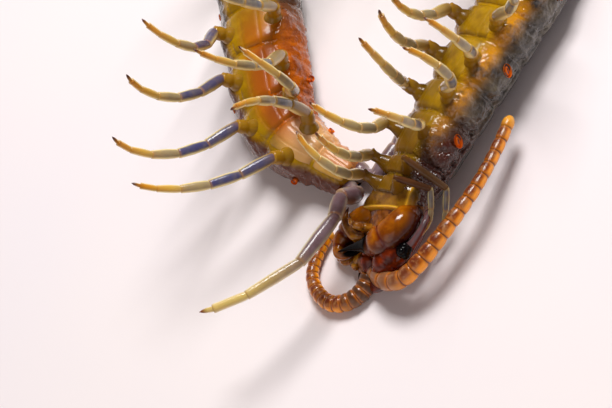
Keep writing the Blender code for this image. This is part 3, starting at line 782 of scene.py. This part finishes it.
def pieceRings(start, end, shares, sizes, marks):
    # rings square to the line from joint to joint, slimmer across the broad face, with their marks
    length = float(np.linalg.norm(end - start))
    way = (end - start) / length
    side = unit(np.cross(way, legs["broadFace"]))
    path = start + way * (np.array(shares) * length)[:, None]
    sizes = np.array(sizes)
    rings, turn = ringsAlong(path, side, np.cross(side, way), sizes, sizes * legs["slim"], legs["sides"])
    # the narrow edges are painted pale: clear horn there, brightened by a painted glow of light coming
    # through it, and the flesh inside shows on the broad faces
    share = np.clip(shares, 0.0, 1.0)[:, None]
    edge = fade(np.abs(np.cos(turn)), 0.62, 0.88) * (1.0 - marks["dark"])
    reachFrom, reachTo = marks["reach"]
    return closedPart(
        rings, edge=edge, joint=marks["spot"] * hump((1.0 - share) * length / 0.13),
        reach=reachFrom + (reachTo - reachFrom) * share, claw=marks["claw"] * fade(share, 0.25, 0.85),
        violet=marks["violet"] * (1.0 - 0.8 * edge), dark=marks["dark"],
        core=marks["core"] * (1.0 - edge) * fade(share, 0.0, 0.1) * fade(share, 1.0, 0.92))


def article(start, end, first, middle, last, marks):
    # narrow neck, fuller middle, and a flared rim that holds the next piece
    shares = [-0.07, -0.02, 0.03, 0.10, 0.20, 0.33, 0.48, 0.62, 0.75, 0.86, 0.93, 0.97, 1.0, 1.01]
    full = 0.45 * first + 0.55 * middle
    sizes = [(-0.07, 0.60 * first), (-0.02, 0.84 * first), (0.06, 0.97 * first), (0.22, 0.5 * (first + full)),
             (0.48, full), (0.80, 0.5 * (full + last) + 0.01), (0.95, last * 1.12), (1.0, last * 1.04),
             (1.01, last * 0.7)]
    return pieceRings(start, end, shares, readRows(sizes, shares), marks)


def coxa(root, end, wide, last, marks):
    # a low swelling out of the flank, a fold, and a short ring that carries the leg
    sizes = wide * np.array(legs["softCoxa" if marks["soft"] else "coxa"])
    sizes[8:] = sizes[8:] + np.array([0.2, 0.4, 0.7, 1.0, 1.0]) * (last * 1.15 - wide * 0.74)
    return pieceRings(root, end, legs["coxaRows"], sizes, marks)


def legPiece(number, side):
    # the base, then the pieces from joint to joint; the last three marks set how grey or dark each is
    isLast = number == trunk["segments"]
    gain = legs["lastGain"] if isLast else legs["frontGain"][side] if number < 3 else 1.0
    fullness = legs["fullness"].get(number, 1.0) * gain
    root, joints = legJoints(number, side)
    wide = min(legs["coxaRadius"], legs["socketFit"] * segmentLength(number))
    wide = wide * legs["coxaShare" if number > 3 else "frontCoxaShare"]
    rear = side == "right" and 15 <= number <= 20
    cores = legs["rearCores" if rear else "coreShares"]
    dark = legs["dark"].get((side, number), 0.0)
    shares = np.cumsum([0.0] + [share for share, _, _ in legs["articles"]])
    radii = [joint * fullness for _, joint, _ in legs["articles"]] + [legs["clawTip"]]
    soft = number < 4      # at the neck the swelling has no ring
    marks = {"reach": (0.0, 0.10), "spot": 0.2, "claw": 0.0, "violet": 0.0, "core": 0.0, "dark": 0.5 * soft,
             "soft": soft}
    parts = [coxa(root, joints[0], wide, radii[0], marks)]
    for order, (_, _, middle) in enumerate(legs["articles"]):
        claw = order == len(legs["articles"]) - 1
        marks = {
            "reach": (0.1 + 0.9 * shares[order], 0.1 + 0.9 * shares[order + 1]), "spot": 1.0 - claw,
            "claw": 1.0 * claw, "violet": (1.0 if rear else 0.15) * cores[order],
            "core": cores[order] * (0.45 if side == "left" and number < 12 else 1.0),
            "dark": dark * (1.0 if order == 0 else 0.3),
        }
        slim = legs["clawSlim"] if claw else 1.0
        parts.append(article(joints[order], joints[order + 1], radii[order] * slim, middle * fullness * slim,
                             radii[order + 1], marks))
    points, faces, marks = joined(parts)
    points[:, 2] = np.maximum(points[:, 2], 0.02)      # a leg lies just clear of the floor
    name = f"leg_{side}_{number:02d}"
    addPiece(name + "_shell", (points, faces, marks), "lastLeg" if isLast else "leg", "leg cuticle", name)


for side in ("left", "right"):
    for number in range(1, trunk["segments"] + 1):
        legPiece(number, side)
print("legs")

# The head's capsule and the plate behind the poison claws.
plate = {
    "rings": [(7.02, 0.55, 0.90, 3.15, 0.65), (7.20, 0.55, 0.90, 3.45, 1.00), (7.75, 0.45, 1.00, 3.40, 1.20),
              (8.6, 0.15, 1.10, 3.05, 1.36), (9.4, 0.0, 1.10, 2.85, 1.45), (10.2, 0.0, 1.00, 2.65, 1.30)],
    "slant": 0.085, "forward": 0.25,      # the front edge lies further back on the right
    "columns": 96, "rows": 60, "square": 0.6, "lip": 0.12, "lipAt": 7.17, "lipReach": 0.11,
    "flankLip": 0.65, "flankAt": -0.90, "flankReach": 0.035,
}


def slab(rings, rows, columns):
    # a flattened round form through rings, cubic between them, as its rows and the turn of each column
    rings = np.array(rings, float)
    places = np.linspace(0.0, len(rings) - 1.0, rows)
    profile = cubicRows(rings, np.arange(len(rings), dtype=float), places)
    return profile, np.broadcast_to(turns(columns), (rows, columns))


def slabPart(shape, **marks):
    # a closed part of a slab's points, taken from its far end so that the faces look outwards
    return closedPart(headPoint(*shape)[:, ::-1], **{name: values[:, ::-1] for name, values in marks.items()})


def headCapsule():
    # a slab whose thin margin stands out all round the widest line, as a bell in sin a
    rows, turn = slab([head["tipRing"]] + head["rings"] + [head["neckRing"]], head["rows"], head["columns"])
    margin = hump(np.sin(turn) / head["marginReach"])
    part = slabPart(slabShape(rows, turn, wider=head["margin"] * margin), edge=head["marginTone"] * margin)
    addPiece("headShell", part, "head", "head cuticle", "head")


def coxosternitePlate():
    # a slab with a rolled lip, its front edge slanted from left to right
    rows, turn = slab(plate["rings"], plate["rows"], plate["columns"])
    rise = np.sin(turn)
    along = np.broadcast_to(rows[:, 0:1], turn.shape)
    # the lip runs along the front edge, and lower along the right side
    lip = hump((along - plate["lipAt"]) / plate["lipReach"]) * fade(rise, -0.1, 0.3)
    flank = hump((np.cos(turn) - plate["flankAt"]) / plate["flankReach"])
    flank = flank * fade(rise, -0.2, 0.1) * fade(along, 10.2, 9.6)
    lip = np.maximum(lip, plate["flankLip"] * flank)
    along, left, height = slabShape(rows, turn, plate["square"], plate["lip"] * lip, plate["lip"] * lip)
    slanted = along + (plate["forward"] - plate["slant"] * left) * fade(along, 9.4, 7.8)
    # the edge mark paints the lip's bright yellow, a glow of light through the clear lip, and the shade mark
    # is painted shade towards the plate's back
    part = slabPart((slanted, left, height), edge=lip, shade=fade(along, 8.0, 9.6))
    addPiece("coxosterniteShell", part, "rim", "fang cuticle", "coxosternite")


headCapsule()
coxosternitePlate()
print("head")

# Poison claws and mouthparts.
claws = {
    "right": [(8.2, -1.3, 0.2, 0.90), (7.5, -2.3, 0.45, 1.25), (6.7, -2.65, 0.8, 1.34),
              (5.8, -2.4, 0.98, 1.36), (5.0, -1.75, 1.1, 1.33), (4.35, -0.9, 1.2, 1.15),
              (3.95, 0.2, 1.4, 0.62), (3.5, 1.9, 1.45, 0.27), (3.0, 3.6, 1.4, 0.04)],
    "left": [(7.5, 2.3, 0.5, 1.05), (6.7, 3.2, 0.8, 1.20), (5.8, 4.0, 1.0, 1.15), (4.9, 4.5, 1.05, 0.98),
             (3.95, 4.65, 1.0, 0.74), (3.15, 4.25, 0.9, 0.52), (2.95, 3.3, 0.85, 0.40),
             (3.3, 2.0, 0.95, 0.28), (3.75, 0.6, 1.05, 0.05)],
    "rows": 64, "columns": 36, "sutures": (0.40, 0.53, 0.016), "sutureDepth": 0.12,      # two places, reach
    "black": {"right": 0.54, "left": 0.76}, "blackSlant": 0.08, "blackReach": 0.07,
    "shadeSide": (0.35, -0.72, -0.60),
}
mouth = {
    "right": [(5.7, 0.4, 0.35, 0.34), (4.9, 0.8, 0.35, 0.42), (4.1, 1.4, 0.3, 0.45), (3.4, 1.9, 0.22, 0.42),
              (2.8, 2.2, 0.2, 0.33), (2.4, 2.4, 0.25, 0.15)],
    "left": [(5.9, 1.3, 0.85, 0.34), (5.6, 1.4, 1.4, 0.36), (5.35, 1.55, 1.95, 0.33), (5.3, 1.95, 2.5, 0.27),
             (5.8, 2.4, 2.85, 0.05)],
    "rows": 44, "columns": 24, "sutures": (0.35, 0.66, 0.03), "sutureDepth": 0.22,
}


def suturesOf(share, spots):
    # 1 at the two places and 0 beyond their reach
    first, second, reach = spots
    return hump((share - first) / reach) + hump((share - second) / reach)


def headTube(rows, count, columns, slim=None):
    # a round tube through (along, left, height, radius) rows, its radius times slim(share) of the length
    spots = np.array(rows, float)
    path = np.concatenate([headPoint(spots[:, 0], spots[:, 1], spots[:, 2]), spots[:, 3:4]], axis=1)
    path = smoothPath(path, count)
    share = np.linspace(0.0, 1.0, count)
    radius = np.maximum(path[:, 3], 0.02) * (slim(share) if slim else 1.0)
    path = path[:, :3]
    sides, rises = pathFrames(path)
    rings, turn = ringsAlong(path, sides, rises, radius, radius, columns)
    return rings, turn, share, unit(rings - path[:, None])


def poisonClaw(side):
    # a tube that narrows at its sutures and rounds off at its root
    def slim(share):
        cut = claws["sutureDepth"] * suturesOf(share, claws["sutures"])
        return (1.0 - cut) * np.sqrt(smooth(0.1 + share / 0.05))

    rings, _, share, outward = headTube(claws[side], claws["rows"], claws["columns"], slim)
    lit = -outward @ np.array(claws["shadeSide"])
    # the black starts earlier on the lit side
    black = smooth((share[:, None] - claws["black"][side] + claws["blackSlant"] * lit) / claws["blackReach"])
    part = closedPart(rings, shade=smooth(0.50 - 0.80 * lit), suture=suturesOf(share, claws["sutures"]),
                      claw=black)
    addPiece(f"forcipule_{side}_shell", part, "fang", "fang cuticle", f"forcipule_{side}")


def mouthPiece(side):
    # a tube that narrows at its sutures
    def slim(share):
        return 1.0 - mouth["sutureDepth"] * suturesOf(share, mouth["sutures"])

    rings, _, share, _ = headTube(mouth[side], mouth["rows"], mouth["columns"], slim)
    claw = np.maximum(fade(share, 0.82, 0.94), 0.5 * suturesOf(share, mouth["sutures"]))
    part = closedPart(rings, claw=claw)
    addPiece(f"maxilla_{side}_shell", part, "mouth", "head cuticle", f"maxilla_{side}")


for side in ("left", "right"):
    poisonClaw(side)
    mouthPiece(side)
print("mouthparts")

# The soft parts of the mouth.
bed = {
    # rings of along, left, height, half width and half height; the tubes have along, left, height, radius
    "rings": [(2.3, 1.5, -0.6, 0.5, 0.3), (2.7, 1.5, -0.4, 1.6, 0.6), (3.6, 1.3, -0.2, 2.8, 0.9),
              (4.8, 1.0, -0.1, 3.5, 1.1), (6.2, 0.7, 0.0, 3.7, 1.3), (7.6, 0.4, 0.2, 3.4, 1.6),
              (9.2, 0.0, 0.2, 2.8, 1.9)],
    "rows": 90, "columns": 120, "fold": 0.06, "lobeRows": 30, "lobeColumns": 22,
    "waist": 0.14, "waistAt": 0.55, "waistReach": 0.06, "tone": 0.15,
    "lobes": [[(3.7, 4.2, 0.5, 0.30), (3.2, 4.3, 0.6, 0.46), (2.8, 3.6, 0.45, 0.48), (2.9, 2.8, 0.3, 0.30)],
              [(3.2, 2.6, 0.2, 0.30), (2.7, 2.3, 0.15, 0.36), (2.4, 1.8, 0.1, 0.24)],
              [(4.9, 1.8, 0.9, 0.42), (4.62, 2.2, 1.35, 0.44), (4.86, 2.9, 1.8, 0.40), (5.25, 3.4, 2.2, 0.34),
               (5.73, 3.6, 2.5, 0.26), (6.16, 3.3, 2.75, 0.15), (6.46, 3.1, 2.9, 0.03)]],
    "lip": [[(5.0, 0.6, 0.3, 0.50), (4.0, 0.5, 0.1, 0.95), (3.1, 0.4, -0.1, 0.90), (2.4, 0.3, -0.3, 0.40)],
            [(5.6, -2.4, 0.0, 0.60), (4.6, -2.2, 0.0, 1.05), (3.6, -1.6, -0.1, 1.10),
             (2.7, -0.8, -0.4, 0.60)]],
}
cheeks = {
    "spots": [(8.6, -3.3, -0.3, 0.25), (7.6, -4.1, -0.10, 0.27), (6.7, -4.1, -0.15, 0.30),
              (5.7, -3.85, -0.25, 0.36), (4.8, -3.1, -0.40, 0.62), (3.9, -2.3, -0.50, 0.62),
              (3.2, -1.4, -0.6, 0.35)],
    "rows": 40, "columns": 30, "farShare": 0.9,
}


def mouthBed():
    # the dark wet flesh that the mouthparts and claws lie in, creased across
    rows, turn = slab(bed["rings"], bed["rows"], bed["columns"])
    crease = bed["fold"] * foldPattern(np.broadcast_to(rows[:, 0:1], turn.shape), turn)
    part = slabPart(slabShape(rows, turn, wider=crease, taller=crease))
    addPiece("mouthBed", part, "flesh", "head cuticle")


def mouthLobes(name, paths, finish):
    # short tubes with a waist just past their middle
    def slim(share):
        return 1.0 - bed["waist"] * hump((share - bed["waistAt"]) / bed["waistReach"])

    parts = []
    for spots in paths:
        rings, _, share, _ = headTube(spots, bed["lobeRows"], bed["lobeColumns"], slim)
        # only the thin hook comes to a dark tip
        hooked = spots[-1][3] < 0.1
        tone = bed["tone"] + (1.0 - bed["tone"]) * hooked * fade(share, 0.86, 0.94)
        parts.append(closedPart(rings, claw=tone, edge=np.zeros(len(share))))
    addPiece(name, joined(parts), finish, "head cuticle")


def cheek(side):
    # the capsule's swollen edge beside the claws, which carries the eyes: a tube through its spots
    spots = np.array(cheeks["spots"], float)
    spots[:, 1] = spots[:, 1] * (1.0 if side == "right" else -cheeks["farShare"])
    rings, turn, share, _ = headTube(spots, cheeks["rows"], cheeks["columns"])
    ridge = hump((np.sin(turn) - 0.75) / 0.35)
    part = closedPart(rings, edge=ridge * fade(share[:, None], 0.66, 0.46))
    addPiece(f"cheek_{side}", part, "head", "head cuticle")


mouthBed()
mouthLobes("mouthLobes", bed["lobes"], "mouth")
mouthLobes("upperLip", bed["lip"], "head")
cheek("right")
cheek("left")
print("mouth")

# Eyes.
eyes = {
    # each cluster's middle, as along, left and height in the head
    "right": (4.45, -3.40, -0.05), "left": (4.6, 3.3, -0.3),
    # how far back and up each lens lies, and its radius
    "ocelli": [(0.0, 0.0, 0.36), (0.55, 0.05, 0.34), (0.10, 0.48, 0.31), (0.60, 0.50, 0.29)],
}


def ball(centre, radii, rows=20, columns=28):
    # a closed round form: rings whose size follows a half circle
    tilt = math.pi * (np.arange(rows) + 0.5) / rows
    turn = turns(columns)
    rings = np.stack([np.sin(tilt)[:, None] * np.cos(turn), np.sin(tilt)[:, None] * np.sin(turn),
                      np.broadcast_to(-np.cos(tilt)[:, None], (rows, columns))], -1)
    return closedPart(centre + rings * np.asarray(radii))


def eyeCluster(side):
    # four glassy lenses on one low black mound
    along, left, height = eyes[side]
    outward = 1 if side == "left" else -1
    parts = [ball(headPoint(along + 0.3, left + 0.14 * outward, height), (0.66, 0.66, 0.6))]
    for back, rise, radius in eyes["ocelli"]:
        parts.append(ball(headPoint(along + back, left + 0.40 * outward, height - 0.2 + rise), (radius,) * 3))
    addPiece(f"eye_{side}_lenses", joined(parts), "eye", "eye lens", f"eye_{side}")


for side in ("left", "right"):
    eyeCluster(side)
print("eyes")

# The feelers.
feelers = {
    "right": [(-3.6, 0.5, 1.2), (-3.75, -0.5, 1.6), (-3.8, -1.6, 2.0), (-3.4, -2.7, 2.4), (-2.6, -3.5, 2.8),
              (-1.0, -3.9, 3.25), (2.3, -3.65, 3.5), (6.9, -2.6, 3.4), (10.1, -1.1, 2.9), (13.0, 0.5, 2.6)],
    "left": [(-4.3, 0.4, 0.95), (-5.1, 0.1, 0.82), (-6.0, 0.0, 0.75), (-7.2, 0.35, 0.72), (-8.2, 1.4, 0.70),
             (-8.4, 3.1, 0.68), (-7.7, 5.0, 0.66), (-5.8, 6.3, 0.64), (-4.0, 6.9, 0.62)],
    "beads": 18, "root": 0.84, "tip": 0.54, "rowsPerBead": 20, "columns": 32, "waist": 0.17,
    "lopsided": 0.85, "squareness": 0.45, "roundFrom": 0.965, "roundOver": 0.037,
}


def feeler(side):
    # a tube whose radius follows a row of beads: in each, a half sine wave to a power
    rows = feelers["beads"] * feelers["rowsPerBead"] + 1
    path = smoothPath(feelers[side], rows)
    share = np.linspace(0.0, 1.0, rows)
    radius = feelers["root"] + (feelers["tip"] - feelers["root"]) * smooth(share * 1.2)
    # each bead swells from its joint and drops back faster at its far end
    t = np.mod(share * feelers["beads"], 1.0)
    bead = np.clip(np.sin(math.pi * np.power(t, feelers["lopsided"])), 0.0, 1.0) ** feelers["squareness"]
    radius = radius * (1.0 - feelers["waist"] * (1.0 - bead))
    # the tip rounds off as a quarter circle
    ending = np.clip((share - feelers["roundFrom"]) / feelers["roundOver"], 0.0, 1.0)
    radius = radius * np.sqrt(np.clip(1.0 - np.square(ending), 0.02, 1.0))
    # sideways stays level, so the bloom is painted on the upper side
    ways = unit(np.gradient(path, axis=0))
    sides = unit(np.cross(ways, (0.0, 0.0, 1.0)))
    rings, turn = ringsAlong(path, sides, np.cross(sides, ways), radius, radius, feelers["columns"])
    rings[..., 2] = np.maximum(rings[..., 2], 0.0)
    fromJoint = np.minimum(t, 1.0 - t)
    # the edge mark paints the orange sides brighter, a glow of light coming through the clear cuticle
    part = closedPart(
        rings, ridge=fade(np.sin(turn), 0.55, 1.0), edge=fade(np.abs(np.cos(turn)), 0.70, 0.95),
        joint=hump(fromJoint / 0.16), crack=hump(fromJoint / 0.05), root=fade(share, 0.3, 0.12),
        stain=fade(share, 0.34, 0.18) * (side == "left"),      # painted shade darkens the left one's root
        tip=fade(share, 0.93, 0.98))
    addPiece(f"antenna_{side}_shell", part, "antenna", "antenna cuticle", f"antenna_{side}")


for side in ("left", "right"):
    feeler(side)
print("feelers")

# Floor, light and camera.
stage = {
    "floor": "#EFE5E3", "halfSize": 900.0,
    "camera": (-3.9, -110.4, 145.3), "pitch": 50.0, "roll": 45.0, "lens": 130.2,
    "key": (130.0, 78.0, 240.0), "keySize": 110.0, "keyPower": 0.95, "aim": (10.0, 18.0, 2.0),
    "fill": (-160.0, -120.0, 140.0), "fillSize": 200.0, "fillPower": 0.14,
    "world": "#FBF4FA", "wallPower": 0.50, "ceilingPower": 0.08,
}


def addFloor():
    # matt white paper
    paint = [stage["floor"], ("#EBE2E4", ((40.0, 2.0), 0.3, 0.7))]
    finish = newFinish("white paper", 0.85, paint, mirror=0.1)
    half = stage["halfSize"] * metre
    corners = [(-half, -half, 0), (half, -half, 0), (half, half, 0), (-half, half, 0)]
    mesh = bpy.data.meshes.new("floor")
    mesh.from_pydata(corners, [], [(0, 1, 2, 3)])
    mesh.materials.append(finish)
    made = linked("floor", mesh)


def addLight(name, place, size, power, tint):
    # a square softbox that faces the animal
    light = bpy.data.lights.new(name, "AREA")
    light.shape = "SQUARE"
    light.size = size * metre
    light.energy = power
    light.color = colour(tint)[:3]
    place, aim = (np.array(place) + origin) * metre, (np.array(stage["aim"]) + origin) * metre
    linked(name, light).matrix_world = lookMatrix(place, aim - place, (0.0, 0.0, 1.0))


def lookMatrix(place, look, upright):
    back = -unit(np.asarray(look, float))
    right = unit(np.cross(upright, back))
    matrix = np.eye(4)
    matrix[:3, 0], matrix[:3, 1], matrix[:3, 2], matrix[:3, 3] = right, np.cross(back, right), back, place
    return Matrix(matrix.tolist())


def addCamera():
    pitch, roll = math.radians(stage["pitch"]), math.radians(stage["roll"])
    look = np.array([0.0, math.cos(pitch), -math.sin(pitch)])
    level, rise = np.array([1.0, 0.0, 0.0]), np.array([0.0, math.sin(pitch), math.cos(pitch)])
    camera = bpy.data.cameras.new("camera")
    camera.sensor_width = 36.0
    camera.lens = stage["lens"]
    camera.dof.use_dof = False
    camera.clip_start, camera.clip_end = 0.01, 10.0
    made = linked("camera", camera)
    upright = level * math.sin(roll) + rise * math.cos(roll)
    made.matrix_world = lookMatrix((np.array(stage["camera"]) + origin) * metre, look, upright)
    bpy.context.scene.camera = made


def addWorld():
    world = bpy.data.worlds.new("studio")
    world.use_nodes = True
    tree = world.node_tree
    sky = tree.nodes["Background"]
    sky.inputs["Color"].default_value = colour(stage["world"])
    # white walls low down and a dim ceiling, so that the shell mirrors mostly the softboxes
    place = addNode(tree, "ShaderNodeTexCoord"), "Generated"
    height = addNode(tree, "ShaderNodeSeparateXYZ", links={"Vector": place}), "Z"
    power, _ = mapped(tree, height, 0.15, 0.65, stage["wallPower"], stage["ceilingPower"])
    tree.links.new(power.outputs[0], sky.inputs["Strength"])
    bpy.context.scene.world = world


addFloor()
addLight("key", stage["key"], stage["keySize"], stage["keyPower"], "#FFFFFF")
addLight("fill", stage["fill"], stage["fillSize"], stage["fillPower"], "#FFF4EC")
addCamera()
addWorld()
bpy.context.scene.view_settings.view_transform = "Standard"
print("stage")
